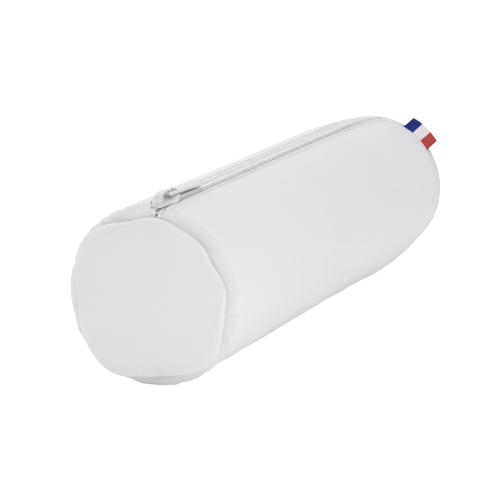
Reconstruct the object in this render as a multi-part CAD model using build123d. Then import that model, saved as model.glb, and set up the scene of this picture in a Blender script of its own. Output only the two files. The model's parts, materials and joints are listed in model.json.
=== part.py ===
from build123d import *
import os
from math import radians, sqrt, tan

# A small round bolster: a zipped cover over a filled inner bag, millimetres.
# X runs along the bolster, the zip is on top (+Z), the slider is parked at the -X end.
# The origin is the middle of the flat patch that the bolster rests on.

# Bolster
SEAM_LENGTH = 238.0         # from end seam to end seam
RADIUS = 36.0               # outside of the cover along the middle
FRONT_RIM = 33.1            # radius of the seam at the slider end
REAR_RIM = 32.0             # radius of the seam at the tag end
FRONT_ROUNDING = 5.4        # length over which the cover turns in at the slider end
REAR_ROUNDING = 50.0        # length over which it turns in at the tag end
CROWN = 5.0                 # how far each end panel bulges out of its seam
EDGE_BULGE = 2.9            # how far its rounded edge alone stands out
EDGE_ROUND = 2.5            # width of that rounded edge
WALL = 2.0                  # padded cover fabric
FLAT_DEPTH = 1.0            # how far the soft bolster flattens where it rests
TURN_IN = 6.0               # seam allowance turned inwards at each end
TURN_IN_THICK = 1.2         # one fabric layer pressed flat in the seam
THREAD = 0.35               # radius of a seam thread

# Zip
ZIP_ROLL = 2.9              # degrees that the zip lies off the top, towards -Y
SLOT_HALF = 5.0             # half the gap between the two folded fabric edges
TAPE_HALF = 12.0            # each tape, from the chain to its woven edge
TAPE_THICK = 0.6
TAPE_GAP = 0.15             # half the gap between the closed tapes
COIL_HALF = 1.4             # half the width of one coil
COIL_PROUD = 0.2            # the coils stand this much over the fabric
CHAIN_Y = 1.45              # centre of one coil in the closed chain
MOUTH_Y = 2.5               # centre of one coil where it enters the slider's channel
SEAM_Y = 1.5                # centre of one coil where it enters the front seam
ZIP_DIP = 8.5               # degrees that the zip dips towards the front seam
CORD_HALF = 0.6             # cord inside the coil
STITCH_Y = 7.2              # seam that joins the folded fabric edge to the tape
STITCH_HALF = 0.25
STITCH_IN_COVER = 0.5       # how far that seam's thread sinks into the cover
STITCH_IN_TAPE = 0.3        # and into the tape

# Slider
NOSE_X = -SEAM_LENGTH / 2 + 2.5
SLIDER_LENGTH = 14.0
TAIL_X = NOSE_X + SLIDER_LENGTH
DIP_X = TAIL_X - 1.0        # the zip is level behind here
NOSE_HALF = 1.7
CHEEK_HALF = 4.5            # where the long tapered nose runs out into the shoulders
CHEEK_END = 6.0
SLIDER_HALF = 4.7           # over the shoulders
SHOULDER_START = 7.0
SHOULDER_END = 9.0
TAIL_HALF = 3.9
TAIL_CORNER = 0.6
FLANGE = 0.6                # wall of the slider's two side flanges
CHANNEL_OVERRUN = 1.0       # the channel is cut this far past both ends
TOP_PLATE = 1.2
BOTTOM_PLATE = 1.0
UNDER_NARROWER = 0.3        # the bottom plate is smaller all round
UNDER_GAP = 0.5             # from the tapes to the bottom plate
RUNNING_GAP = 0.3
DIVIDER_HALF = 0.8
DIVIDER_NOSE_HALF = 0.4
DIVIDER_TIP_HALF = 0.1
DIVIDER_END = 9.0
WELD = 0.2                  # pieces of the casting run into each other by this much
BRIDGE_HALF = 1.15
LEG_FRONT = 1.1             # front of the bridge, behind the nose
LEG_BACK = 12.7
ROOT = 0.4                  # depth of the bridge's feet in the top plate

# Pull
PIVOT_FROM_NOSE = 8.3
PIVOT_HEIGHT = 1.9          # above the slider's top plate
PULL_LENGTH = 28.5          # from the pivot to the tip
PULL_HALF = 2.5
PULL_THICK = 1.3
PULL_CORNER = 1.4           # rounded corners of its tip
PULL_BAR = 0.6              # radius of the bar that runs under the bridge
EYE_HALF = 1.5
EYE_LENGTH = 8.2
PULL_DROOP = 2.5            # degrees below level at rest, lying on the slider's tail

# Ribbon tag
TAG_ANGLE = 41.0            # degrees round from the top, towards -Y
TAG_WIDTH = 15.5
TAG_LENGTH = 5.6
TAG_THICK = 0.9             # ribbon folded double
TAG_LEAN = 45.0             # degrees that the tag stands out from the axis direction
TAG_ROOT = 0.1              # the ribbon shows from this far off its pivot line
TAG_PIVOT_OUT = 0.9         # pivot line above the rear seam
TAG_PIVOT_X = 0.3           # pivot line behind the rear seam

# Inner bag
BAG_GAP = 0.1               # slack between the zip tapes and the bag
BAG_WALL = 0.4
BAG_END_GAP = 0.3           # slack between the turned-in seams and the bag
BAG_CROWN_R = 26.0          # radius of the bulged middle of the bag's ends
BAG_CROWN = 3.9
BAG_FLAT = 29.3             # height over the axis of the dent under the zip

AXIS_Z = RADIUS - FLAT_DEPTH
FRONT_X = -SEAM_LENGTH / 2
REAR_X = SEAM_LENGTH / 2
TAPE_TOP = RADIUS - WALL
TAPE_BOTTOM = TAPE_TOP - TAPE_THICK
COIL_TOP = RADIUS + COIL_PROUD
PLATE_UNDER = COIL_TOP + RUNNING_GAP
PLATE_TOP = PLATE_UNDER + TOP_PLATE
BAG_INSET = WALL + TAPE_THICK + BAG_GAP
BIG = 400.0


def save(node, shape):
    """Lift a shape from the axis frame to the row's frame and write it."""
    placed = Pos(0, 0, AXIS_Z) * shape
    solids = placed.solids()
    body = solids[0] if len(solids) == 1 else Compound(children=list(solids))
    export_step(body, f"parts/{node}.step")
    print(f"{node:26s} solids {len(solids):3d} volume {sum(s.volume for s in solids):12.2f}")


def revolved(edges):
    """Solid of revolution about the X axis from a closed outline in x and radius."""
    return revolve(make_face(Plane.XZ * Curve(children=list(edges))), Axis.X)


def barrel(inset):
    """Solid body of the cover's tube, its skin moved inwards by inset."""
    front = FRONT_RIM - inset
    rear = REAR_RIM - inset
    middle = RADIUS - inset
    front_turn = FRONT_X + FRONT_ROUNDING
    rear_turn = REAR_X - REAR_ROUNDING
    return revolved([
        Line((FRONT_X, 0), (FRONT_X, front)),
        TangentArc((front_turn, middle), (FRONT_X, front), tangent=(-1, 0)),
        Line((front_turn, middle), (rear_turn, middle)),
        TangentArc((rear_turn, middle), (REAR_X, rear), tangent=(1, 0)),
        Line((REAR_X, rear), (REAR_X, 0)),
        Line((REAR_X, 0), (FRONT_X, 0)),
    ])


def zip_barrel(inset):
    """The same body as the zip follows it: it dips towards the front seam."""
    front = RADIUS - inset - (DIP_X - FRONT_X) * tan(radians(ZIP_DIP))
    rear_turn = REAR_X - REAR_ROUNDING
    return revolved([
        Line((FRONT_X, 0), (FRONT_X, front)),
        Line((FRONT_X, front), (DIP_X, RADIUS - inset)),
        Line((DIP_X, RADIUS - inset), (rear_turn, RADIUS - inset)),
        TangentArc((rear_turn, RADIUS - inset), (REAR_X, REAR_RIM - inset), tangent=(1, 0)),
        Line((REAR_X, REAR_RIM - inset), (REAR_X, 0)),
        Line((REAR_X, 0), (FRONT_X, 0)),
    ])


def above_floor(inset):
    """Half space that flattens a layer where the bolster rests."""
    floor = -(AXIS_Z - inset)
    return Pos(0, 0, floor + BIG / 2) * Box(BIG, BIG, BIG)


def layer(outer, inner):
    """Shell of the tube between two insets, flattened underneath."""
    return (barrel(outer) & above_floor(outer)) - (barrel(inner) & above_floor(inner))


def ring(x, r_in, r_out, thick):
    """Flat ring in a plane across the axis, from x to x + thick."""
    disc = Cylinder(r_out, thick) - Cylinder(r_in, thick)
    return Pos(x + thick / 2, 0, 0) * Rot(0, 90, 0) * disc


def seam_thread(x, r, wire):
    """Stitch line run round the bolster in the plane of a seam."""
    return Pos(x, 0, 0) * Rot(0, 90, 0) * Torus(r, wire)


def rolled(shape):
    """Turn something drawn with the zip on top to where the zip really lies."""
    return Rot(ZIP_ROLL, 0, 0) * shape


def dipped(shape):
    """Tip something drawn level over the zip nose down, as the zip dips there."""
    return Pos(DIP_X, 0, RADIUS) * Rot(0, -ZIP_DIP, 0) * Pos(-DIP_X, 0, -RADIUS) * shape


def plan(points, low, high):
    """Upright block over a plan outline, between two heights over the axis."""
    return Pos(0, 0, low) * extrude(make_face(Polyline(*points, close=True)), high - low)


def cover_disc(x, rim, side, thread_ring):
    """Domed end panel with a rounded edge, turned in along the seam."""
    edge = (x + side * EDGE_BULGE, rim - EDGE_ROUND)
    rise = CROWN - EDGE_BULGE
    dome_radius = (edge[1] ** 2 + rise ** 2) / (2 * rise)
    tip = x + side * CROWN
    inner_tip = tip - side * WALL
    lip_x = x + side * TURN_IN_THICK
    inner_rise = CROWN - WALL - TURN_IN_THICK
    lip_r = sqrt(2 * (dome_radius - WALL) * inner_rise - inner_rise ** 2)
    panel = revolved([
        TangentArc((tip, 0), edge, tangent=(0, 1)),
        TangentArc((x, rim), edge, tangent=(side, 0)),
        Line((x, rim), (x, rim - TURN_IN)),
        Line((x, rim - TURN_IN), (lip_x, rim - TURN_IN)),
        Line((lip_x, rim - TURN_IN), (lip_x, lip_r)),
        TangentArc((inner_tip, 0), (lip_x, lip_r), tangent=(0, 1)),
        Line((inner_tip, 0), (tip, 0)),
    ])
    return panel - thread_ring


def cover_tube(cuts):
    """One wrapped panel, open along the top for the zip, its ends turned in."""
    slot = Pos(0, 0, BIG / 2) * Box(BIG, 2 * SLOT_HALF, BIG)
    front_lip = ring(FRONT_X, FRONT_RIM - TURN_IN, FRONT_RIM - WALL / 2, TURN_IN_THICK)
    rear_lip = ring(REAR_X - TURN_IN_THICK, REAR_RIM - TURN_IN, REAR_RIM - WALL / 2, TURN_IN_THICK)
    return layer(0.0, WALL) + front_lip + rear_lip - rolled(slot) - cuts


def coil_line(side, half):
    """Plan outline of one coil, or of the cord in it, from seam to seam."""
    route = [
        (FRONT_X, SEAM_Y),
        (NOSE_X + CHEEK_END - 1.0, MOUTH_Y),
        (NOSE_X + SHOULDER_START, MOUTH_Y),
        (TAIL_X - 2.0, CHAIN_Y),
        (REAR_X, CHAIN_Y),
    ]
    outer = [(x, side * (y + half)) for x, y in route]
    inner = [(x, side * (y - half)) for x, y in reversed(route)]
    return outer + inner


def tape(side):
    """Woven tape under the fabric's edge, parted where the slider stands."""
    parted = DIVIDER_HALF + RUNNING_GAP
    outline = [
        (FRONT_X, side * TAPE_GAP),
        (NOSE_X - 1.0, side * parted),
        (NOSE_X + DIVIDER_END - 1.0, side * parted),
        (NOSE_X + DIVIDER_END + 2.0, side * TAPE_GAP),
        (REAR_X, side * TAPE_GAP),
        (REAR_X, side * TAPE_HALF),
        (FRONT_X, side * TAPE_HALF),
    ]
    shell = zip_barrel(WALL) - zip_barrel(WALL + TAPE_THICK)
    ends = ring(FRONT_X, 0, RADIUS, TURN_IN_THICK) + ring(REAR_X - TURN_IN_THICK, 0, RADIUS, TURN_IN_THICK)
    return rolled(shell & plan(outline, 0, RADIUS)) - ends - zip_seam(side)


def coil(side):
    """One coil of the chain as a plain bar, with room for its cord."""
    shell = zip_barrel(-COIL_PROUD) - zip_barrel(WALL)
    bar = shell & plan(coil_line(side, COIL_HALF), 0, RADIUS + 1)
    return rolled(bar) - coil_cord(side)


def coil_cord(side):
    """Cord that the coil is wound over."""
    middle = (WALL - COIL_PROUD) / 2
    shell = zip_barrel(middle - CORD_HALF) - zip_barrel(middle + CORD_HALF)
    return rolled(shell & plan(coil_line(side, CORD_HALF), 0, RADIUS + 1))


def zip_seam(side):
    """Hidden seam thread that holds the folded fabric edge down on the tape."""
    line = Box(SEAM_LENGTH - 2 * FRONT_ROUNDING, 2 * STITCH_HALF, RADIUS)
    shell = zip_barrel(WALL - STITCH_IN_COVER) - zip_barrel(WALL + STITCH_IN_TAPE)
    return rolled(shell & (Pos(0, side * STITCH_Y, RADIUS) * line))


def mirrored(half):
    """Closed plan outline from the points of its +Y half."""
    return half + [(x, -y) for x, y in reversed(half)]


def plate_outline(narrower=0.0):
    """Plan of a slider plate: a long tapered nose, broad shoulders, a narrow tail."""
    return mirrored([
        (NOSE_X, NOSE_HALF - narrower),
        (NOSE_X + CHEEK_END, CHEEK_HALF - narrower),
        (NOSE_X + SHOULDER_START, SLIDER_HALF - narrower),
        (NOSE_X + SHOULDER_END, SLIDER_HALF - narrower),
        (TAIL_X - TAIL_CORNER, TAIL_HALF - narrower),
        (TAIL_X, TAIL_HALF - TAIL_CORNER),
    ])


def channel_outline():
    """Plan of the room between the side flanges, open at the tapered nose and the tail."""
    return mirrored([
        (NOSE_X - CHANNEL_OVERRUN, SLIDER_HALF - FLANGE),
        (NOSE_X + SHOULDER_END, SLIDER_HALF - FLANGE),
        (TAIL_X - TAIL_CORNER, TAIL_HALF - FLANGE),
        (TAIL_X + CHANNEL_OVERRUN, TAIL_HALF - FLANGE),
    ])


def slider_bridge():
    """Arch over the slider that the pull hooks under, high at the nose.
    Its outlines are in distance behind the nose and height over the top plate."""
    outside = [
        Line((LEG_FRONT, -ROOT), (LEG_FRONT, 2.6)),
        ThreePointArc((LEG_FRONT, 2.6), (1.8, 3.7), (3.4, 4.1)),
        Line((3.4, 4.1), (9.6, 3.2)),
        ThreePointArc((9.6, 3.2), (11.9, 2.1), (LEG_BACK, -ROOT)),
        Line((LEG_BACK, -ROOT), (LEG_FRONT, -ROOT)),
    ]
    eye = [
        Line((4.2, 0), (4.2, 2.2)),
        ThreePointArc((4.2, 2.2), (4.5, 2.9), (5.2, 3.1)),
        Line((5.2, 3.1), (9.0, 2.55)),
        Line((9.0, 2.55), (11.2, 0.9)),
        Line((11.2, 0.9), (11.4, 0)),
        Line((11.4, 0), (4.2, 0)),
    ]
    arch = make_face(Plane.XZ * Curve(children=outside)) - make_face(Plane.XZ * Curve(children=eye))
    return Pos(NOSE_X, 0, PLATE_TOP) * extrude(arch, BRIDGE_HALF, both=True)


def divider_outline():
    """Plan of the wedge that parts the two coils, pointed towards the tail."""
    return mirrored([
        (NOSE_X + 0.1, DIVIDER_NOSE_HALF),
        (NOSE_X + DIVIDER_END / 2, DIVIDER_HALF),
        (NOSE_X + DIVIDER_END - 2.0, DIVIDER_HALF),
        (NOSE_X + DIVIDER_END, DIVIDER_TIP_HALF),
    ])


def slider_body():
    """Cast slider: two plates joined by the divider, side flanges and the bridge."""
    under_top = TAPE_BOTTOM - UNDER_GAP
    upper = plan(plate_outline(), TAPE_TOP + RUNNING_GAP, PLATE_TOP)
    channel = plan(channel_outline(), TAPE_TOP, PLATE_UNDER)
    under = plan(plate_outline(UNDER_NARROWER), under_top - BOTTOM_PLATE, under_top)
    divider = plan(divider_outline(), under_top - WELD, PLATE_UNDER + WELD)
    return rolled(dipped(upper - channel + divider + under + slider_bridge()))


def pull_tab():
    """Flat bar with an eye at its base, lying back along the closed chain."""
    hook = Rot(90, 0, 0) * Cylinder(PULL_BAR, 2 * PULL_HALF)
    strip = Pos(PULL_LENGTH / 2, 0, 0) * Box(PULL_LENGTH, 2 * PULL_HALF, PULL_THICK)
    blade = fillet(strip.edges().filter_by(Axis.Z).group_by(Axis.X)[-1], PULL_CORNER)
    eye = Pos(EYE_LENGTH / 2, 0, 0) * Box(EYE_LENGTH, 2 * EYE_HALF, 2 * PULL_THICK)
    pivot = Pos(NOSE_X + PIVOT_FROM_NOSE, 0, PLATE_TOP + PIVOT_HEIGHT)
    return rolled(dipped(pivot * Rot(0, PULL_DROOP + ZIP_DIP, 0) * (blade - eye + hook)))


def ribbon_tag():
    """Folded ribbon that stands out of the rear seam."""
    flap = Pos(TAG_LENGTH / 2 + TAG_ROOT, 0, 0) * Box(TAG_LENGTH, TAG_WIDTH, TAG_THICK)
    hinge = Pos(REAR_X + TAG_PIVOT_X, 0, REAR_RIM + TAG_PIVOT_OUT)
    return Rot(TAG_ANGLE, 0, 0) * hinge * Rot(0, -TAG_LEAN, 0) * flap


def bag_body(inset):
    """Filled inner bag: the cover's inside, bulged ends, dented under the zip."""
    front = FRONT_X + TURN_IN_THICK + BAG_END_GAP + inset
    rear = REAR_X - TURN_IN_THICK - BAG_END_GAP - inset
    tube = barrel(BAG_INSET + inset) & above_floor(BAG_INSET + inset)
    span = Pos((front + rear) / 2, 0, 0) * Box(rear - front, BIG, BIG)
    dent = Pos(0, 0, BAG_FLAT - inset + BIG / 2) * Box(BIG, BIG, BIG)
    body = (tube & span) - rolled(dent)
    crown_r = BAG_CROWN_R - inset
    for x, side in ((front, -1), (rear, 1)):
        tip = x + side * BAG_CROWN
        body += revolved([
            TangentArc((tip, 0), (x, crown_r), tangent=(0, 1)),
            Line((x, crown_r), (x, 0)),
            Line((x, 0), (tip, 0)),
        ])
    return body


def bag_pieces():
    """Tube and two end discs of the inner bag, their seam threads and the filling."""
    outer = bag_body(0.0)
    filling = bag_body(BAG_WALL)
    skin = outer - filling
    front = FRONT_X + TURN_IN_THICK + BAG_END_GAP
    rear = REAR_X - TURN_IN_THICK - BAG_END_GAP
    middle = Pos((front + rear) / 2, 0, 0) * Box(rear - front - 2 * BAG_WALL, BIG, BIG)
    tube = skin & middle
    front_end = skin & (Pos(front + BAG_WALL - BIG / 2, 0, 0) * Box(BIG, BIG, BIG))
    rear_end = skin & (Pos(rear - BAG_WALL + BIG / 2, 0, 0) * Box(BIG, BIG, BIG))
    return tube, front_end, rear_end, filling


def main():
    os.makedirs("parts", exist_ok=True)
    front_thread = seam_thread(FRONT_X, FRONT_RIM - TURN_IN / 2, THREAD)
    rear_thread = seam_thread(REAR_X, REAR_RIM - TURN_IN / 2, THREAD)
    zip_threads = zip_seam(1) + zip_seam(-1)
    save("cover_tube_panel", cover_tube(front_thread + rear_thread + zip_threads))
    save("cover_front_disc", cover_disc(FRONT_X, FRONT_RIM, -1, front_thread))
    save("cover_rear_disc", cover_disc(REAR_X, REAR_RIM, 1, rear_thread))
    save("front_seam_thread", front_thread)
    save("rear_seam_thread", rear_thread)
    for name, side in (("left", 1), ("right", -1)):
        save(f"zip_tape_{name}", tape(side))
        save(f"zip_coil_{name}", coil(side))
        save(f"zip_coil_cord_{name}", coil_cord(side))
        save(f"zip_seam_thread_{name}", zip_seam(side))
    save("slider_body", slider_body())
    save("pull_tab", pull_tab())
    save("ribbon_tag", ribbon_tag())
    tube, front_end, rear_end, filling = bag_pieces()
    save("inner_bag_tube", tube)
    save("inner_bag_front_disc", front_end)
    save("inner_bag_rear_disc", rear_end)
    save("filling", filling)


main()
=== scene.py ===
import json
import math
import bpy
import numpy as np
from mathutils import Matrix, Vector, noise


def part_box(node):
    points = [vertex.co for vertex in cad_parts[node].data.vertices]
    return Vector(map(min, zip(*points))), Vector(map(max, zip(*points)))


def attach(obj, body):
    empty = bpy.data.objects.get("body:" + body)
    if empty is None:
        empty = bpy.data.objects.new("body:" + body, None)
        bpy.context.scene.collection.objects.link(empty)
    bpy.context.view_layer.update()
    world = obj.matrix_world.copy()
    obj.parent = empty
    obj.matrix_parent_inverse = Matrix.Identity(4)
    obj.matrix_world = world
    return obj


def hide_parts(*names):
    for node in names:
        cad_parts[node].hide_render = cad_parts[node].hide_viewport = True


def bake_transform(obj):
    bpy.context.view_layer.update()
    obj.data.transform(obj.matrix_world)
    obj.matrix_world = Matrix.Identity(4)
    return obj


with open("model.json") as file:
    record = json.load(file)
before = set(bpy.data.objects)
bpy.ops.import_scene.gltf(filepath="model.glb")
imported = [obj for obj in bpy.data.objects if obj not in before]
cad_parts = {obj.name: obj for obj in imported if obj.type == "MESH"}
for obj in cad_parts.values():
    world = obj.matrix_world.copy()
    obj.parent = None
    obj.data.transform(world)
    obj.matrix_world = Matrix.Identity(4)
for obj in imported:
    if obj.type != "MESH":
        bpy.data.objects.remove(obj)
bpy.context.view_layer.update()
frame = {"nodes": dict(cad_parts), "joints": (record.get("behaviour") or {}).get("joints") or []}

MM = 0.001

# ---------------------------------------------------------------- places, from the frame
tube_low, tube_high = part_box("cover_tube_panel")
front_low, front_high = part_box("cover_front_disc")
rear_low, rear_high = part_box("cover_rear_disc")
slider_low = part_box("slider_body")[0]
joints = {joint["name"]: joint for joint in frame["joints"]}

FRONT_X = tube_low.x
REAR_X = tube_high.x
LENGTH = REAR_X - FRONT_X
RADIUS = (tube_high.y - tube_low.y) / 2
AXIS_Z = (front_high.z + front_low.z) / 2
REAR_RIM = (rear_high.z - rear_low.z) / 2
CROWN = FRONT_X - front_low.x
NOSE_X = slider_low.x

PULL_AXIS = Vector(joints["pull_pivot"]["axis"])
ZIP_ROLL = math.atan2(-PULL_AXIS.z, -PULL_AXIS.y)
TAG_AXIS = Vector(joints["tag_flap"]["axis"])
TAG_ANGLE = math.atan2(-TAG_AXIS.z, -TAG_AXIS.y)
TAG_PIVOT = Vector(joints["tag_flap"]["pos_m"])

# ---------------------------------------------------------------- the cover's shape
ACROSS = 1.014                  # the roll is a little wider than it is tall
SHOULDER = 3.6 * MM             # length over which the fabric puffs up behind the front seam
ZIP_SHOULDER = 9.0 * MM         # the same beside the zip, where it stays lower
ZIP_SHOULDER_WIDTH = 8.0 * MM   # how far to the side of the zip that reaches
REAR_SHOULDER = 3.0 * MM
REAR_ROUNDING = 50.0 * MM
SEAM_DEPTH = 1.9 * MM           # the seams lie this far inside the end panels' edges
WALL = 1.6 * MM                 # fabric folded double along the zip
SLOT_ROUTE = [                  # from the slider's nose, and from there to the folded edge, mm
    (-2.5, 2.1), (1.0, 2.75), (6.0, 4.55), (10.0, 4.7), (15.0, 4.0),
]
ZIP_SHIFT = [                   # from the slider's nose, and the zip's wander towards -Y, mm
    (-2.5, 1.1), (6.0, 0.0),
]
ZIP_DIP = math.radians(8.5)     # the zip dips this steeply towards the front seam
DIP_FROM_NOSE = 13.1 * MM       # it is level from here on, behind the slider's nose
FLOOR_GAP = 0.1 * MM
AROUND = 300                    # points round the cover
ALONG = 150                     # rows of points along it
RIPPLE_DEPTH = 0.40             # mm, wide gathers behind the front seam
RIPPLE_COUNT = 9
CRINKLE_DEPTH = 0.25            # mm, narrow gathers between them
CRINKLE_COUNT = 26
GATHER_FADE = 5.0 * MM
GATHER_REACH = 20.0 * MM
GATHER_START = 1.2 * MM         # right at the seam the fabric is held flat
RIM_CORNERS = [                 # degrees round from the top towards -Y, radius in mm
    (7, 31.7), (-14, 30.4), (-34, 32.2), (-50, 34.1), (-66, 33.0), (-92, 30.3),
    (-118, 32.3), (-138, 34.6), (-154, 34.6), (-176, 31.5), (166, 30.8), (146, 33.2),
    (129, 34.8), (110, 32.8), (92, 32.1), (79, 32.8), (58, 31.2), (48, 31.8), (24, 30.9),
]
TUCKS = [                       # degrees round, depth, half width and length in mm
    (34.5, 1.0, 1.0, 5.0), (30.5, 0.7, 0.8, 4.0), (96, 0.9, 1.2, 4.0), (62, 0.6, 1.5, 6.0),
    (-12, 0.45, 0.9, 5.0), (-22, 0.6, 1.0, 6.0), (-33, 0.8, 1.2, 5.0), (-41, 0.7, 1.0, 4.0),
    (17, 0.35, 0.8, 4.0), (128, 0.7, 1.6, 5.0), (160, 0.6, 1.4, 5.0), (-75, 0.8, 1.5, 6.0),
    (-108, 0.7, 1.3, 5.0), (-165, 0.7, 1.5, 6.0),
]

# ---------------------------------------------------------------- the zip's shape
COIL_HALVES = [                 # from the slider's nose, and half the width of one coil, mm
    (-2.5, 1.1), (1.0, 1.35), (12.0, 1.5),
]
COIL_HALF_HEIGHT = 1.0 * MM
COIL_PITCH = 1.25 * MM
COIL_WIRE = 0.27 * MM           # radius of the coil's monofilament
COIL_TOP = 0.25 * MM            # the coils stand this much over the cover
COIL_CORD = 0.8 * MM
COIL_STEPS = 14                 # points in one turn
COIL_DEPTH = COIL_HALF_HEIGHT + COIL_WIRE - COIL_TOP
COIL_THREADS = (0.15 * MM, 0.75 * MM)   # rows of sewing thread, outward of the coil's middle
COIL_THREAD = 0.16 * MM
COIL_THREAD_DIP = 0.1 * MM
COIL_THREAD_IN = 0.02 * MM      # the threads sink into the turns by this much
COIL_ROUTE = [                  # from the slider's nose, and from the chain's middle, mm
    (-2.5, 1.1), (0.0, 1.45), (4.5, 2.5), (7.0, 2.5), (11.5, 1.47), (14.0, 1.45),
]
TAPE_THICK = 0.5 * MM
TAPE_HALF = 12.0 * MM
TAPE_RIB = 0.4 * MM             # spacing of the tape's woven ribs
TAPE_RIB_HEIGHT = 0.05 * MM
TAPE_FLAT = 2.45 * MM           # the tape lies this far under the cover's outside
TAPE_RIDGE = 1.5 * MM           # height of its ridge beside the coil
TAPE_RIDGE_AT = 3.75 * MM
TAPE_RIDGE_WIDTH = 0.55 * MM
TAPE_UNDER_COIL = 1.3 * MM      # the tape's inner edge lies this far inward of the coil's middle
TAPE_EDGE_GAP = 0.12 * MM
TAPE_ENDS = 0.6 * MM            # the tapes stop short of the seams
ZIP_SEAM = 7.2 * MM             # stitches that hold the fold down, from the middle of the zip
ZIP_SEAM_ENDS = 6.0 * MM

# ---------------------------------------------------------------- stitches and castings
STITCH_LENGTH = 3.0 * MM
STITCH_SHARE = 0.88             # part of the length where the thread shows
STITCH_START = 0.06
SEAM_THREAD = 0.2 * MM
SEAM_THREAD_IN = 0.5 * MM       # under the seam's edge
SEAM_THREAD_BOW = 0.25 * MM
ZIP_THREAD = 0.18 * MM
ZIP_THREAD_UNDER = 0.15 * MM
CAST_VOXEL = 0.13 * MM

# ---------------------------------------------------------------- the ribbon's shape
TAG_WIDTH = 15.4 * MM
TAG_OUT = 5.3 * MM              # how far it stands out of the seam
TAG_ROOT = 3.0 * MM             # how far it reaches into the seam
TAG_LEAN = math.radians(45)
TAG_CLOTH = 0.35 * MM
TAG_FOLD = 0.42 * MM            # radius of its fold
TAG_RIB = 0.5 * MM              # spacing of its woven ribs
TAG_RIB_SHARE = 0.16            # their height, as a share of the fold's radius
TAG_SAG_OUT = 0.35              # how it follows the round seam, outwards and downwards
TAG_SAG_DOWN = 0.75
TAG_COLUMNS = 31
TAG_BENDS = 9

# ---------------------------------------------------------------- the inner bag's shape
BAG_INSET = 3.3 * MM
BAG_DENT = 29.2 * MM            # height over the axis of the bag's dent under the zip
BAG_CLOTH = 0.4 * MM
BAG_CRUMPLE = 0.012
BAG_TUBE_END = 2.2 * MM         # from the cover's seams to the ends of the bag's tube
BAG_DISC_END = 2.4 * MM         # and to its end discs
BAG_DISC_INSET = 0.6 * MM
BAG_DISC_THICK = 0.8 * MM
BAG_DISC_BULGE = 2.6 * MM
BAG_ROWS = 80
BAG_COLUMNS = 120
DOME_RINGS = 14
FILLING_GAP = 0.4 * MM
FILLING_END = 3.2 * MM
FILLING_BULGE = 2.0 * MM


def smooth_ring(corners):
    """Radius in metres against angle in radians, smooth through the corners all the way round."""
    ordered = sorted((math.radians(a) % (2 * math.pi), r * MM) for a, r in corners)
    angles = np.array([a for a, r in ordered])
    radii = np.array([r for a, r in ordered])
    angles = np.concatenate([angles[-2:] - 2 * math.pi, angles, angles[:3] + 2 * math.pi])
    radii = np.concatenate([radii[-2:], radii, radii[:3]])

    def radius(angle):
        angle = angle % (2 * math.pi)
        i = int(np.searchsorted(angles, angle, side="right")) - 1
        i = min(max(i, 1), len(angles) - 3)
        span = angles[i + 1] - angles[i]
        t = (angle - angles[i]) / span
        before = (radii[i + 1] - radii[i - 1]) / (angles[i + 1] - angles[i - 1]) * span
        after = (radii[i + 2] - radii[i]) / (angles[i + 2] - angles[i]) * span
        return ((2 * t ** 3 - 3 * t ** 2 + 1) * radii[i] + (t ** 3 - 2 * t ** 2 + t) * before
                + (3 * t ** 2 - 2 * t ** 3) * radii[i + 1] + (t ** 3 - t ** 2) * after)

    return radius


front_edge = smooth_ring(RIM_CORNERS)


def rear_edge(angle):
    return REAR_RIM


def turn_from(angle, middle):
    """Signed turn from one angle to another, the short way round."""
    return (angle - middle + math.pi) % (2 * math.pi) - math.pi


def around_axis(x, radius, angle, across=1.0, lift=0.0):
    """Point at an angle round the axis, from the top towards -Y."""
    height = AXIS_Z + lift + radius / across * math.cos(angle)
    return Vector((x, -radius * across * math.sin(angle), height))


def gathers(angle, from_seam):
    """How deep the small gathers and tucks behind the front seam are at a point."""
    cos = math.cos(angle)
    sin = math.sin(angle)
    ripple = noise.noise(Vector((cos * RIPPLE_COUNT, sin * RIPPLE_COUNT, 3.7)))
    crinkle = noise.noise(Vector((cos * CRINKLE_COUNT, sin * CRINKLE_COUNT, 8.1)))
    fade = math.exp(-from_seam / GATHER_FADE)
    depth = (RIPPLE_DEPTH * ripple + CRINKLE_DEPTH * crinkle) * MM * fade
    for degrees, deep, wide, long in TUCKS:
        off = turn_from(angle, math.radians(degrees)) * RADIUS / (wide * MM)
        if abs(off) < 4:
            depth += deep * MM * math.exp(-off ** 2) * math.exp(-((from_seam / (long * MM)) ** 2))
    return depth


def body_point(x, angle, inset=0.0):
    """Point of the roll itself, away from its ends."""
    turned = max(0.0, 1 - (REAR_X - x) / REAR_ROUNDING)
    radius = RADIUS - (RADIUS - REAR_RIM) * turned ** 2 - inset
    point = around_axis(x, radius, angle, ACROSS, RADIUS * (1 - 1 / ACROSS))
    point.z = max(point.z, FLOOR_GAP + inset)
    return point


def cover_point(x, angle, inset=0.0):
    """Point of the cover's tube, puffed up behind its two seams."""
    beside_zip = math.exp(-(turn_from(angle, ZIP_ROLL) * RADIUS / ZIP_SHOULDER_WIDTH) ** 2)
    shoulder = SHOULDER + (ZIP_SHOULDER - SHOULDER) * beside_zip
    from_front = x - FRONT_X
    from_rear = REAR_X - x
    point = body_point(x, angle, inset)
    if from_front < shoulder:
        seam = around_axis(x, front_edge(angle) - SEAM_DEPTH - inset, angle)
        puff = math.sqrt(max(0.0, 1 - (1 - from_front / shoulder) ** 2))
        point = seam.lerp(point, puff)
    if from_rear < REAR_SHOULDER:
        seam = around_axis(x, rear_edge(angle) - SEAM_DEPTH - inset, angle)
        puff = math.sqrt(max(0.0, 1 - (1 - from_rear / REAR_SHOULDER) ** 2))
        point = seam.lerp(point, puff)
    if from_front < GATHER_REACH:
        rise = min(1.0, from_front / GATHER_START)
        inward = Vector((0, point.y, point.z - AXIS_Z)).normalized()
        point -= inward * gathers(angle, from_front) * rise
    point.z = max(point.z, FLOOR_GAP + inset)
    return point


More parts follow.
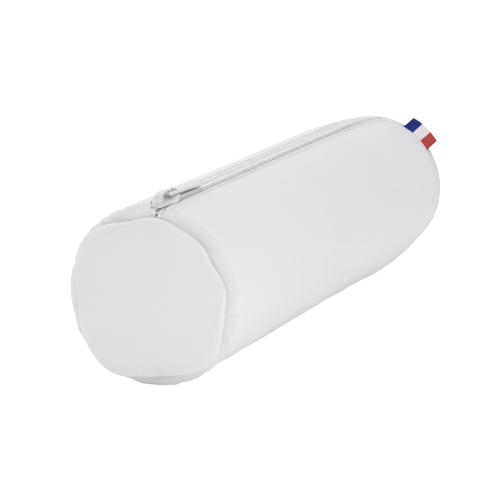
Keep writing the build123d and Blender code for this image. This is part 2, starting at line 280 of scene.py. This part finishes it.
def zip_point(x, offset, depth):
    """Point beside the zip: offset along the skin towards -Y, depth under the skin."""
    skin = cover_point(x, ZIP_ROLL)
    out = Vector((0, -math.sin(ZIP_ROLL), math.cos(ZIP_ROLL)))
    side = Vector((0, -math.cos(ZIP_ROLL), -math.sin(ZIP_ROLL)))
    height = (skin - Vector((x, 0, AXIS_Z))).dot(out)
    dipped = RADIUS - max(0.0, NOSE_X + DIP_FROM_NOSE - x) * math.tan(ZIP_DIP)
    offset += behind_nose(x, ZIP_SHIFT)
    drop = RADIUS - math.sqrt(max(RADIUS ** 2 - offset ** 2, 0.0))
    return Vector((x, 0, AXIS_Z)) + out * (min(height, dipped) - drop - depth) + side * offset


def blend_steps(value, points):
    """Smooth value between a list of (place, value) points."""
    places = [p for p, v in points]
    if value <= places[0]:
        return points[0][1]
    for (x0, v0), (x1, v1) in zip(points, points[1:]):
        if value <= x1:
            t = (value - x0) / (x1 - x0)
            return v0 + (v1 - v0) * t * t * (3 - 2 * t)
    return points[-1][1]


def behind_nose(x, route):
    """A length that changes along the zip, read from its route."""
    return blend_steps((x - NOSE_X) / MM, route) * MM


# ---------------------------------------------------------------- mesh helpers
def add_object(name, verts, faces, body="bolster", smooth=True):
    mesh = bpy.data.meshes.new(name)
    mesh.from_pydata([tuple(v) for v in verts], [], faces)
    mesh.update()
    if smooth:
        mesh.polygons.foreach_set("use_smooth", [True] * len(mesh.polygons))
    piece = bpy.data.objects.new(name, mesh)
    bpy.context.collection.objects.link(piece)
    if body:
        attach(piece, body)
    return piece


def grid_faces(rows, columns, wrap=False, first=0):
    """Quads of a grid of points numbered row by row; wrap joins each row's ends."""
    faces = []
    for i in range(rows - 1):
        for j in range(columns if wrap else columns - 1):
            m = (j + 1) % columns
            a, b = first + i * columns, first + (i + 1) * columns
            faces.append((a + j, a + m, b + m, b + j))
    return faces


def loft(loops):
    """Vertices and faces of a closed skin through loops of points, with flat ends."""
    count = len(loops[0])
    verts = [p for loop in loops for p in loop]
    faces = grid_faces(len(loops), count, wrap=True)
    faces.append(tuple(range(count))[::-1])
    last = (len(loops) - 1) * count
    faces.append(tuple(last + k for k in range(count)))
    return verts, faces


def apply_modifiers(piece):
    depsgraph = bpy.context.evaluated_depsgraph_get()
    mesh = bpy.data.meshes.new_from_object(piece.evaluated_get(depsgraph))
    piece.modifiers.clear()
    name = piece.data.name
    piece.data = mesh
    mesh.name = name
    return piece


def tube_along(points, radius, sides=6, normals=None, closed=False):
    """Round tube along a list of points. Its rings keep to the normals, or turn as little as they can."""
    count = len(points)
    loops = []
    up = Vector((0, 0, 1))
    for i, point in enumerate(points):
        if closed:
            forward = points[(i + 1) % count] - points[i - 1]
        else:
            forward = points[min(i + 1, count - 1)] - points[max(i - 1, 0)]
        forward.normalize()
        up = normals[i] if normals else up
        up = (up - forward * up.dot(forward)).normalized()
        side = forward.cross(up)
        turns = [2 * math.pi * k / sides for k in range(sides)]
        loops.append([point + (up * math.cos(a) + side * math.sin(a)) * radius for a in turns])
    if not closed:
        return loft(loops)
    verts = [p for loop in loops for p in loop]
    faces = grid_faces(count, sides, wrap=True)
    last = (count - 1) * sides
    faces += [(last + k, last + (k + 1) % sides, (k + 1) % sides, k) for k in range(sides)]
    return verts, faces


def join_parts(parts):
    """One list of vertices and one of faces from several."""
    verts, faces = [], []
    for part_verts, part_faces in parts:
        start = len(verts)
        verts += part_verts
        faces += [tuple(start + i for i in face) for face in part_faces]
    return verts, faces


# ---------------------------------------------------------------- materials
def new_material(name, roughness, specular=0.3, sheen=0.0):
    material = bpy.data.materials.new(name)
    material.use_nodes = True
    tree = material.node_tree
    shader = tree.nodes["Principled BSDF"]
    shader.inputs["Roughness"].default_value = roughness
    shader.inputs["Specular IOR Level"].default_value = specular
    shader.inputs["Sheen Weight"].default_value = sheen
    shader.inputs["Sheen Roughness"].default_value = 0.4
    return material, tree, shader


def noise_node(tree, scale, detail=3.0, stretch=(1, 1, 1)):
    """Noise over the piece, its coordinates stretched along an axis where wanted."""
    coordinates = tree.nodes.new("ShaderNodeTexCoord")
    mapping = tree.nodes.new("ShaderNodeMapping")
    mapping.inputs["Scale"].default_value = stretch
    node = tree.nodes.new("ShaderNodeTexNoise")
    node.inputs["Scale"].default_value = scale
    node.inputs["Detail"].default_value = detail
    tree.links.new(coordinates.outputs["Object"], mapping.inputs["Vector"])
    tree.links.new(mapping.outputs["Vector"], node.inputs["Vector"])
    return node


def two_tone(tree, shader, factor, dark, light):
    ramp = tree.nodes.new("ShaderNodeValToRGB")
    ramp.color_ramp.elements[0].position = 0.3
    ramp.color_ramp.elements[0].color = (*dark, 1)
    ramp.color_ramp.elements[1].position = 0.7
    ramp.color_ramp.elements[1].color = (*light, 1)
    tree.links.new(factor, ramp.inputs["Fac"])
    tree.links.new(ramp.outputs["Color"], shader.inputs["Base Color"])


def add_bump(tree, shader, height, strength, distance, before=None):
    bump = tree.nodes.new("ShaderNodeBump")
    bump.inputs["Strength"].default_value = strength
    bump.inputs["Distance"].default_value = distance
    tree.links.new(height, bump.inputs["Height"])
    if before is not None:
        tree.links.new(before.outputs["Normal"], bump.inputs["Normal"])
    tree.links.new(bump.outputs["Normal"], shader.inputs["Normal"])
    return bump


def cloth_material(name, dark, light, sheen=0.15):
    """Smooth knitted cover fabric: faint mottle, soft unevenness and a fine nap."""
    material, tree, shader = new_material(name, 0.85, 0.2, sheen)
    two_tone(tree, shader, noise_node(tree, 25.0, 4.0).outputs["Fac"], dark, light)
    soft = add_bump(tree, shader, noise_node(tree, 160.0, 3.0).outputs["Fac"], 0.12, 0.5 * MM)
    add_bump(tree, shader, noise_node(tree, 4500.0, 2.0).outputs["Fac"], 0.2, 0.08 * MM, soft)
    return material


def woven_material(name, dark, light, stretch, scale=900.0, strength=0.35, sheen=0.2):
    """Tape, ribbon or thread: fine fibres drawn out along one direction."""
    material, tree, shader = new_material(name, 0.7, 0.15, sheen)
    fibres = noise_node(tree, scale, 3.0, stretch)
    two_tone(tree, shader, fibres.outputs["Fac"], dark, light)
    add_bump(tree, shader, fibres.outputs["Fac"], strength, 0.1 * MM)
    return material


def ribbon_material(name, dark, light):
    """One colour band of the ribbon, finely ribbed."""
    return woven_material(name, dark, light, (1, 1, 1), 2500.0, 0.35, 0.08)


def moulded_material(name, dark, light, roughness, grain):
    """Nylon or enamel: nearly even, with a slight orange peel."""
    material, tree, shader = new_material(name, roughness, 0.5)
    two_tone(tree, shader, noise_node(tree, 250.0, 2.0).outputs["Fac"], dark, light)
    add_bump(tree, shader, noise_node(tree, grain, 2.0).outputs["Fac"], 0.08, 0.05 * MM)
    return material


# The tube's cloth and the end panels' cloth are one fabric in two tones, partly painted light. The tube's
# cool tint is painted cool light on its sides, and the end panels are made lighter to make up for the
# dimmer room light towards -X.
cover_cloth = cloth_material("cover_cloth", (0.645, 0.655, 0.665), (0.665, 0.675, 0.685))
end_cloth = cloth_material("end_cloth", (0.675, 0.675, 0.675), (0.695, 0.695, 0.695))
bag_cloth = cloth_material("inner_bag_cloth", (0.66, 0.66, 0.65), (0.74, 0.74, 0.73))
filling_fibre = woven_material(
    "filling_fibre", (0.70, 0.70, 0.69), (0.84, 0.84, 0.83), (1, 1, 1), 300.0, 0.8
)
thread_fibre = woven_material("sewing_thread", (0.80, 0.795, 0.79), (0.87, 0.865, 0.86), (1, 4, 4))
tape_weave = woven_material("zip_tape_weave", (0.82, 0.82, 0.81), (0.88, 0.88, 0.87), (3, 1, 1))
coil_nylon = moulded_material("coil_nylon", (0.81, 0.80, 0.80), (0.88, 0.87, 0.87), 0.35, 2500.0)
slider_enamel = moulded_material("slider_enamel", (0.60, 0.605, 0.615), (0.64, 0.645, 0.655), 0.32, 900.0)
ribbon_blue = ribbon_material("ribbon_blue", (0.008, 0.016, 0.13), (0.020, 0.032, 0.20))
ribbon_white = ribbon_material("ribbon_white", (0.68, 0.65, 0.68), (0.80, 0.76, 0.79))
ribbon_red = ribbon_material("ribbon_red", (0.38, 0.040, 0.045), (0.52, 0.065, 0.070))


def give(piece, material):
    piece.data.materials.clear()
    piece.data.materials.append(material)
    return piece


# ---------------------------------------------------------------- cloth simulation
def swell(piece, held, pressure, cap, away):
    """Blow a fabric skin up a little between its held points. No point moves by more than cap."""
    before = [v.co.copy() for v in piece.data.vertices]
    group = piece.vertex_groups.new(name="held")
    group.add(sorted(held), 1.0, "REPLACE")
    cloth = piece.modifiers.new("cloth", "CLOTH")
    settings = cloth.settings
    settings.quality = 6
    settings.mass = 0.25
    settings.tension_stiffness = 25
    settings.compression_stiffness = 25
    settings.shear_stiffness = 12
    settings.bending_stiffness = 1.5
    settings.use_pressure = True
    settings.uniform_pressure_force = pressure
    settings.vertex_group_mass = "held"
    settings.effector_weights.gravity = 0
    settings.shrink_min = -0.012
    scene = bpy.context.scene
    for step in range(1, 21):
        scene.frame_set(step)
    apply_modifiers(piece)
    scene.frame_set(1)
    for vertex, start in zip(piece.data.vertices, before):
        move = vertex.co - start
        if move.length > cap:
            move = move.normalized() * cap
        vertex.co = start + move
        vertex.co.z = max(vertex.co.z, away)
    piece.data.update()


# ---------------------------------------------------------------- cover tube
def cover_stations():
    """Positions along the tube, closer together at the two seams."""
    front = SHOULDER * (1 - np.cos(np.linspace(0, math.pi / 2, 10)))
    near = np.linspace(SHOULDER, 14 * MM, 14)[1:]
    middle = np.linspace(14 * MM, LENGTH - REAR_SHOULDER, ALONG)[1:]
    rear = LENGTH - REAR_SHOULDER * (1 - np.sin(np.linspace(0, math.pi / 2, 7)))[1:]
    return [FRONT_X + s for s in np.concatenate([front, near, middle, rear])]


def skin_angles(x):
    """Angles round the tube from one folded edge to the other, closer together beside the zip."""
    half = (behind_nose(x, SLOT_ROUTE) + WALL / 2) / RADIUS
    middle = ZIP_ROLL + behind_nose(x, ZIP_SHIFT) / RADIUS
    t = np.linspace(0, 1, AROUND)
    eased = t - 0.09 * np.sin(2 * math.pi * t)
    return middle + half + eased * 2 * (math.pi - half)


def folded_section(skin):
    """Closed section of the fabric from its outer skin: round folded edges and an inner layer."""
    count = len(skin)
    inward = []
    for j, point in enumerate(skin):
        ahead = skin[min(j + 1, count - 1)]
        behind = skin[max(j - 1, 0)]
        along = ahead - behind
        inward.append(Vector((0, along.z, -along.y)).normalized())
    inner = [point + inward[j] * -WALL for j, point in enumerate(skin)]
    section = list(skin)
    section += fold_round(skin[-1], inner[-1], (skin[-1] - skin[-2]).normalized())
    section += inner[::-1]
    section += fold_round(inner[0], skin[0], (skin[0] - skin[1]).normalized())
    return section


def fold_round(start, end, out, steps=7):
    """Points of the half circle that a folded edge makes from its upper to its lower layer."""
    centre = (start + end) / 2
    arm = start - centre
    reach = arm.length
    turns = [math.pi * k / (steps + 1) for k in range(1, steps + 1)]
    return [centre + arm * math.cos(a) + out * reach * math.sin(a) for a in turns]


def build_cover_tube():
    stations = cover_stations()
    verts = [cover_point(x, a) for x in stations for a in skin_angles(x)]
    rows = len(stations)
    skin = add_object("cover_skin", verts, grid_faces(rows, AROUND))
    ends = set(range(AROUND)) | set(range((rows - 1) * AROUND, rows * AROUND))
    edges = {i * AROUND + j for i in range(rows) for j in (0, 1, 2, AROUND - 3, AROUND - 2, AROUND - 1)}
    swell(skin, ends | edges, 4.0, 0.7 * MM, FLOOR_GAP)
    points = [v.co.copy() for v in skin.data.vertices]
    bpy.data.objects.remove(skin)
    loops = [folded_section(points[i * AROUND:(i + 1) * AROUND]) for i in range(rows)]
    piece = add_object("cover_tube", *loft(loops))
    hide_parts("cover_tube_panel")
    return give(piece, cover_cloth)


# ---------------------------------------------------------------- end panels
EDGE_PROFILE = [                # radius over the edge's, and how far out of the seam, in mm
    (-1.9, -0.2), (-1.3, -0.1), (-0.75, 0.1), (-0.25, 0.6), (0.0, 1.4), (-0.2, 2.2), (-0.8, 2.9),
    (-1.7, 3.35),
]
DISC_RINGS = 26


def build_disc(name, x, side, edge, replaced, material):
    profile = [(r * MM, out * MM) for r, out in EDGE_PROFILE]
    flat_r, flat_out = profile[-1]
    angles = [2 * math.pi * j / AROUND for j in range(AROUND)]
    verts = [around_axis(x + side * out, edge(a) + r, a) for r, out in profile for a in angles]
    for i in range(1, DISC_RINGS):
        share = 1 - i / DISC_RINGS
        out = flat_out + (CROWN - flat_out) * (1 - share ** 2)
        verts += [around_axis(x + side * out, (edge(a) + flat_r) * share, a) for a in angles]
    verts.append(around_axis(x + side * CROWN, 0, 0))
    rows = len(profile) + DISC_RINGS - 1
    faces = grid_faces(rows, AROUND, wrap=True)
    last = (rows - 1) * AROUND
    centre = len(verts) - 1
    faces += [(last + j, last + (j + 1) % AROUND, centre) for j in range(AROUND)]
    if side < 0:
        faces = [f[::-1] for f in faces]
    piece = add_object(name, verts, faces)
    swell(piece, range(4 * AROUND), 2.0, 0.6 * MM, FLOOR_GAP)
    thick = piece.modifiers.new("thickness", "SOLIDIFY")
    thick.thickness = WALL / 2
    thick.offset = -1
    apply_modifiers(piece)
    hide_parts(replaced)
    return give(piece, material)


# ---------------------------------------------------------------- seam threads
def seam_stitches(name, x, edge, replaced):
    """Machine stitches round a seam, sunk between the two fabrics."""
    count = int(2 * math.pi * REAR_RIM / STITCH_LENGTH)
    parts = []
    for k in range(count):
        steps = [(k + STITCH_START + STITCH_SHARE * s / 6) / count * 2 * math.pi for s in range(7)]
        bow = [math.sin(math.pi * s / 6) * SEAM_THREAD_BOW for s in range(7)]
        under = SEAM_DEPTH + SEAM_THREAD_IN
        ring = [around_axis(x, edge(a) - under + b, a) for a, b in zip(steps, bow)]
        parts.append(tube_along(ring, SEAM_THREAD, 5))
    piece = add_object(name, *join_parts(parts))
    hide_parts(replaced)
    return give(piece, thread_fibre)


def zip_stitches(name, side, replaced):
    """Hidden stitches that hold the folded edge down on the tape."""
    count = int((LENGTH - 2 * ZIP_SEAM_ENDS) / STITCH_LENGTH)
    parts = []
    for k in range(count):
        start = FRONT_X + ZIP_SEAM_ENDS + k * STITCH_LENGTH
        spots = [start + STITCH_LENGTH * (STITCH_START + STITCH_SHARE * s / 4) for s in range(5)]
        line = [zip_point(spot, side * ZIP_SEAM, WALL + ZIP_THREAD_UNDER) for spot in spots]
        parts.append(tube_along(line, ZIP_THREAD, 5))
    piece = add_object(name, *join_parts(parts))
    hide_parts(replaced)
    return give(piece, thread_fibre)


# ---------------------------------------------------------------- zip
def coil_middle(x, side):
    return zip_point(x, side * behind_nose(x, COIL_ROUTE), COIL_DEPTH)


def build_coil(name, side, replaced):
    """One coil of the chain, a real helix of monofilament."""
    start = FRONT_X + 0.6 * MM
    turns = (REAR_X - 1.0 * MM - start) / COIL_PITCH
    count = int(turns * COIL_STEPS)
    points, normals = [], []
    phase = 0.0 if side > 0 else math.pi
    for i in range(count):
        x = start + i * COIL_PITCH / COIL_STEPS
        turn = 2 * math.pi * i / COIL_STEPS + phase
        middle = coil_middle(x, side)
        along = (coil_middle(x + MM, side) - middle).normalized()
        out = Vector((0, -math.sin(ZIP_ROLL), math.cos(ZIP_ROLL)))
        across = out.cross(along).normalized()
        out = along.cross(across)
        half = behind_nose(x, COIL_HALVES)
        wide = across * half * math.cos(turn)
        points.append(middle + wide + out * COIL_HALF_HEIGHT * math.sin(turn))
        normals.append(across * math.cos(turn) + out * math.sin(turn))
    piece = add_object(name, *tube_along(points, COIL_WIRE, 6, normals))
    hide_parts(replaced)
    return give(piece, coil_nylon)


def zip_line(side, offset, depth, step):
    """Points along a coil, a little aside of its middle and over or under it."""
    spots = np.arange(FRONT_X + 0.4 * MM, REAR_X - TAPE_ENDS, step)
    return [zip_point(x, side * (behind_nose(x, COIL_ROUTE) + offset), depth) for x in spots]


def build_coil_cord(name, side, replaced):
    line = zip_line(side, 0.0, COIL_DEPTH, 1.5 * MM)
    piece = add_object(name, *tube_along(line, COIL_CORD, 8))
    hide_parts(replaced)
    return give(piece, thread_fibre)


def build_coil_threads(name, side):
    """Two rows of thread that sew the coil to its tape, dipping between the turns."""
    parts = []
    step = COIL_PITCH / 4
    for offset in COIL_THREADS:
        line = zip_line(side, offset, 0.0, step)
        out = Vector((0, -math.sin(ZIP_ROLL), math.cos(ZIP_ROLL)))
        for i, place in enumerate(line):
            place += out * (COIL_TOP - COIL_THREAD_IN + COIL_THREAD_DIP * math.cos(math.pi / 2 * i))
        parts.append(tube_along(line, COIL_THREAD, 5))
    piece = add_object(name, *join_parts(parts))
    return give(piece, thread_fibre)


def tape_depth(offset):
    """The tape rises into a low ridge beside the coil and lies flat under the fabric."""
    ridge = math.exp(-((offset - TAPE_RIDGE_AT) / TAPE_RIDGE_WIDTH) ** 2)
    return TAPE_FLAT - TAPE_RIDGE * ridge


def build_tape(name, side, replaced):
    """Woven tape: fine ribs run along it, and its inner edge keeps under the coil."""
    count = int(TAPE_HALF / TAPE_RIB) * 2
    loops = []
    for x in np.arange(FRONT_X + TAPE_ENDS, REAR_X - TAPE_ENDS, 1.5 * MM):
        inner = max(TAPE_EDGE_GAP, behind_nose(x, COIL_ROUTE) - TAPE_UNDER_COIL)
        offsets = [inner + (TAPE_HALF - inner) * j / count for j in range(count + 1)]
        rib = [TAPE_RIB_HEIGHT * (-1) ** j for j in range(count + 1)]
        upper = [zip_point(x, side * o, tape_depth(o) + r) for o, r in zip(offsets, rib)]
        lower = [zip_point(x, side * o, tape_depth(o) + TAPE_THICK) for o in offsets]
        loops.append(upper + lower[::-1] if side < 0 else lower + upper[::-1])
    piece = add_object(name, *loft(loops))
    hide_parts(replaced)
    return give(piece, tape_weave)


# ---------------------------------------------------------------- slider and pull
def cast_piece(name, node, body, rounds):
    """The CAD piece as a casting, with its corners rounded off."""
    source = frame["nodes"][node]
    piece = bpy.data.objects.new(name, source.data.copy())
    bpy.context.collection.objects.link(piece)
    remesh = piece.modifiers.new("remesh", "REMESH")
    remesh.mode = "VOXEL"
    remesh.voxel_size = CAST_VOXEL
    relax = piece.modifiers.new("relax", "SMOOTH")
    relax.factor = 0.5
    relax.iterations = rounds
    apply_modifiers(piece)
    piece.data.polygons.foreach_set("use_smooth", [True] * len(piece.data.polygons))
    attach(piece, body)
    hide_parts(node)
    return give(piece, slider_enamel)


# ---------------------------------------------------------------- ribbon tag
def build_ribbon():
    """Folded ribbon in three bands."""
    radial = Vector((0, -math.sin(TAG_ANGLE), math.cos(TAG_ANGLE)))
    out = Vector((1, 0, 0)) * math.cos(TAG_LEAN) + radial * math.sin(TAG_LEAN)
    across = TAG_AXIS.normalized()
    over = out.cross(across)
    if over.dot(radial) < 0:
        over = -over
    straight = TAG_OUT + TAG_ROOT - TAG_FOLD
    runs = int(straight / (TAG_RIB / 2))
    path = [(-TAG_ROOT + straight * i / runs, TAG_FOLD) for i in range(runs)]
    turns = [math.pi * i / TAG_BENDS for i in range(TAG_BENDS + 1)]
    path += [(TAG_OUT - TAG_FOLD + TAG_FOLD * math.sin(a), TAG_FOLD * math.cos(a)) for a in turns]
    path += [(-TAG_ROOT + straight * (runs - i) / runs, -TAG_FOLD) for i in range(1, runs + 1)]
    verts = []
    for i, (along, lift) in enumerate(path):
        rib = 1 + TAG_RIB_SHARE * (-1) ** i
        for j in range(TAG_COLUMNS):
            share = j / (TAG_COLUMNS - 1) - 0.5
            sag = REAR_RIM - math.sqrt(REAR_RIM ** 2 - (share * TAG_WIDTH) ** 2)
            place = TAG_PIVOT + across * share * TAG_WIDTH
            place += out * (along - TAG_SAG_OUT * sag) + over * lift * rib
            verts.append(place - radial * TAG_SAG_DOWN * sag)
    faces = grid_faces(len(path), TAG_COLUMNS)
    piece = add_object("ribbon_tag_cloth", verts, faces, body=None)
    for material in (ribbon_blue, ribbon_white, ribbon_red):
        piece.data.materials.append(material)
    for index, polygon in enumerate(piece.data.polygons):
        polygon.material_index = (index % (TAG_COLUMNS - 1)) * 3 // (TAG_COLUMNS - 1)
    thick = piece.modifiers.new("thickness", "SOLIDIFY")
    thick.thickness = TAG_CLOTH
    thick.offset = 0
    apply_modifiers(piece)
    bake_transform(piece)
    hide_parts("ribbon_tag")
    return piece


# ---------------------------------------------------------------- inner bag and filling
def bag_point(x, angle, inset):
    """Point of the inner bag: the cover's inside, slightly crumpled and dented under the zip."""
    point = cover_point(x, angle, inset)
    crumple = noise.noise(Vector((x * 60, math.cos(angle) * 4, math.sin(angle) * 4)))
    centre = Vector((x, 0, AXIS_Z))
    point = centre + (point - centre) * (1 - BAG_CRUMPLE * abs(crumple))
    out = Vector((0, -math.sin(ZIP_ROLL), math.cos(ZIP_ROLL)))
    over = (point - centre).dot(out) - (BAG_DENT - inset + BAG_INSET)
    return point - out * over if over > 0 else point


bag_angles = [2 * math.pi * j / BAG_COLUMNS for j in range(BAG_COLUMNS)]


def build_bag_tube():
    stations = np.linspace(FRONT_X + BAG_TUBE_END, REAR_X - BAG_TUBE_END, BAG_ROWS)
    verts = [bag_point(x, a, BAG_INSET) for x in stations for a in bag_angles]
    faces = grid_faces(BAG_ROWS, BAG_COLUMNS, wrap=True)
    piece = add_object("inner_bag_tube_cloth", verts, faces)
    thick = piece.modifiers.new("thickness", "SOLIDIFY")
    thick.thickness = BAG_CLOTH
    thick.offset = -1
    apply_modifiers(piece)
    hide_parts("inner_bag_tube")
    return give(piece, bag_cloth)


def dome(x, side, reach, inset):
    """Rings of a shallow dome that closes the bag at an end, from its rim to its middle."""
    rows = []
    for i in range(DOME_RINGS):
        share = math.cos(math.pi / 2 * i / (DOME_RINGS - 1))
        bulge = reach * math.sin(math.pi / 2 * i / (DOME_RINGS - 1)) ** 1.5
        row = []
        for angle in bag_angles:
            rim = bag_point(x, angle, inset)
            centre = Vector((x, 0, AXIS_Z))
            place = centre + (rim - centre) * max(share, 0.004)
            row.append(place + Vector((side * bulge, 0, 0)))
        rows.append(row)
    return rows


def build_bag_end(name, x, side, replaced):
    """End disc of the bag, two layers of cloth joined round the rim and at the middle."""
    inset = BAG_INSET + BAG_DISC_INSET
    outer = dome(x + side * BAG_DISC_THICK, side, BAG_DISC_BULGE, inset)
    inner = dome(x, side, BAG_DISC_BULGE, inset)
    loops = outer[::-1] + inner
    if side < 0:
        loops = [loop[::-1] for loop in loops]
    piece = add_object(name, *loft(loops))
    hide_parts(replaced)
    return give(piece, bag_cloth)


def build_filling():
    """The fibre filling, one lumpy body that fills the bag."""
    inset = BAG_INSET + BAG_CLOTH + FILLING_GAP
    start = FRONT_X + FILLING_END
    end = REAR_X - FILLING_END
    front = dome(start, -1, FILLING_BULGE, inset)[::-1]
    rear = dome(end, 1, FILLING_BULGE, inset)
    stations = np.linspace(start, end, BAG_ROWS)[1:-1]
    middle = [[bag_point(x, a, inset) for a in bag_angles] for x in stations]
    piece = add_object("filling_fibre_body", *loft(front + middle + rear))
    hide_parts("filling")
    return give(piece, filling_fibre)


build_cover_tube()
build_disc("front_end_panel", FRONT_X, -1, front_edge, "cover_front_disc", end_cloth)
build_disc("rear_end_panel", REAR_X, 1, rear_edge, "cover_rear_disc", end_cloth)
seam_stitches("front_seam_stitches", FRONT_X, front_edge, "front_seam_thread")
seam_stitches("rear_seam_stitches", REAR_X, rear_edge, "rear_seam_thread")
for end_name, end_side in (("left", -1), ("right", 1)):
    build_tape("zip_tape_weave_" + end_name, end_side, "zip_tape_" + end_name)
    build_coil("zip_coil_helix_" + end_name, end_side, "zip_coil_" + end_name)
    build_coil_cord("zip_coil_core_" + end_name, end_side, "zip_coil_cord_" + end_name)
    build_coil_threads("zip_coil_threads_" + end_name, end_side)
    zip_stitches("zip_stitches_" + end_name, end_side, "zip_seam_thread_" + end_name)
cast_piece("slider_casting", "slider_body", "slider", 5)
cast_piece("pull_casting", "pull_tab", "pull", 4)
build_ribbon()
build_bag_tube()
build_bag_end("inner_bag_front_cloth", FRONT_X + BAG_DISC_END, -1, "inner_bag_front_disc")
build_bag_end("inner_bag_rear_cloth", REAR_X - BAG_DISC_END, 1, "inner_bag_rear_disc")
build_filling()


# ---------------------------------------------------------------- floor, light and camera
CAMERA_PLACE = (-0.9218, -0.3971, 0.2605)
CAMERA_YAW = 0.4167
CAMERA_PITCH = -0.2272
CAMERA_LENS = 174.5
FLOOR_GLOW = 0.16               # what the table adds to the light under the roll
FLOOR_GLOW_SEEN = 0.7           # its glow where the camera sees it
ROOM_LIGHT = 0.92
ROOM_BEHIND_CAMERA = 0.66       # the room is this much darker towards -X


def build_floor():
    """A pale light table: it lights the roll from below, and seen directly it is plain white."""
    size = 30.0  # metres, so that its edge is out of view
    verts = [(-size, -size, 0), (size, -size, 0), (size, size, 0), (-size, size, 0)]
    floor = add_object("floor", verts, [(0, 1, 2, 3)], body=None, smooth=False)
    material, tree, shader = new_material("floor_table", 0.9)
    two_tone(tree, shader, noise_node(tree, 3.0).outputs["Fac"], (0.93, 0.93, 0.93), (0.95, 0.95, 0.95))
    shader.inputs["Emission Color"].default_value = (1, 1, 1, 1)
    seen = tree.nodes.new("ShaderNodeLightPath")
    glow = tree.nodes.new("ShaderNodeMapRange")
    glow.inputs["To Min"].default_value = FLOOR_GLOW
    glow.inputs["To Max"].default_value = FLOOR_GLOW_SEEN
    tree.links.new(seen.outputs["Is Camera Ray"], glow.inputs["Value"])
    tree.links.new(glow.outputs["Result"], shader.inputs["Emission Strength"])
    floor.data.materials.append(material)


def soft_light(name, place, target, size, power):
    light = bpy.data.lights.new(name, "AREA")
    light.shape = "DISK"
    light.size = size
    light.energy = power
    lamp = bpy.data.objects.new(name, light)
    lamp.location = place
    direction = Vector(target) - Vector(place)
    lamp.rotation_euler = direction.to_track_quat("-Z", "Y").to_euler()
    bpy.context.collection.objects.link(lamp)
    return lamp


def build_light():
    world = bpy.data.worlds.new("studio")
    world.use_nodes = True
    tree = world.node_tree
    background = tree.nodes["Background"]
    background.inputs["Strength"].default_value = ROOM_LIGHT
    direction = tree.nodes.new("ShaderNodeTexCoord")
    split = tree.nodes.new("ShaderNodeSeparateXYZ")
    dimmer = tree.nodes.new("ShaderNodeMapRange")
    dimmer.inputs["From Min"].default_value = -1.0
    dimmer.inputs["From Max"].default_value = -0.5
    dimmer.inputs["To Min"].default_value = ROOM_BEHIND_CAMERA
    dimmer.inputs["To Max"].default_value = 1.0
    tree.links.new(direction.outputs["Generated"], split.inputs["Vector"])
    tree.links.new(split.outputs["X"], dimmer.inputs["Value"])
    tree.links.new(dimmer.outputs["Result"], background.inputs["Color"])
    bpy.context.scene.world = world
    middle = (0, 0, AXIS_Z)
    soft_light("top_light", (0.05, 0.2, 1.1), middle, 0.7, 2.4)
    soft_light("rim_light", (-0.08, 0.32, 0.27), (-0.04, 0.0, AXIS_Z + 0.03), 0.25, 0.3)
    soft_light("side_light", (-0.22, -0.25, 0.09), (-0.11, 0, AXIS_Z), 0.15, 0.13)
    bpy.context.scene.view_settings.view_transform = "Standard"


def build_camera():
    """The view along the roll from above its slider end."""
    camera = bpy.data.cameras.new("camera")
    camera.sensor_width = 36.0
    camera.lens = CAMERA_LENS
    camera.clip_end = 200.0
    eye = bpy.data.objects.new("camera", camera)
    eye.location = CAMERA_PLACE
    level = math.cos(CAMERA_PITCH)
    look = Vector((level * math.cos(CAMERA_YAW), level * math.sin(CAMERA_YAW), math.sin(CAMERA_PITCH)))
    eye.rotation_euler = look.to_track_quat("-Z", "Y").to_euler()
    bpy.context.collection.objects.link(eye)
    bpy.context.scene.camera = eye


build_floor()
build_light()
build_camera()
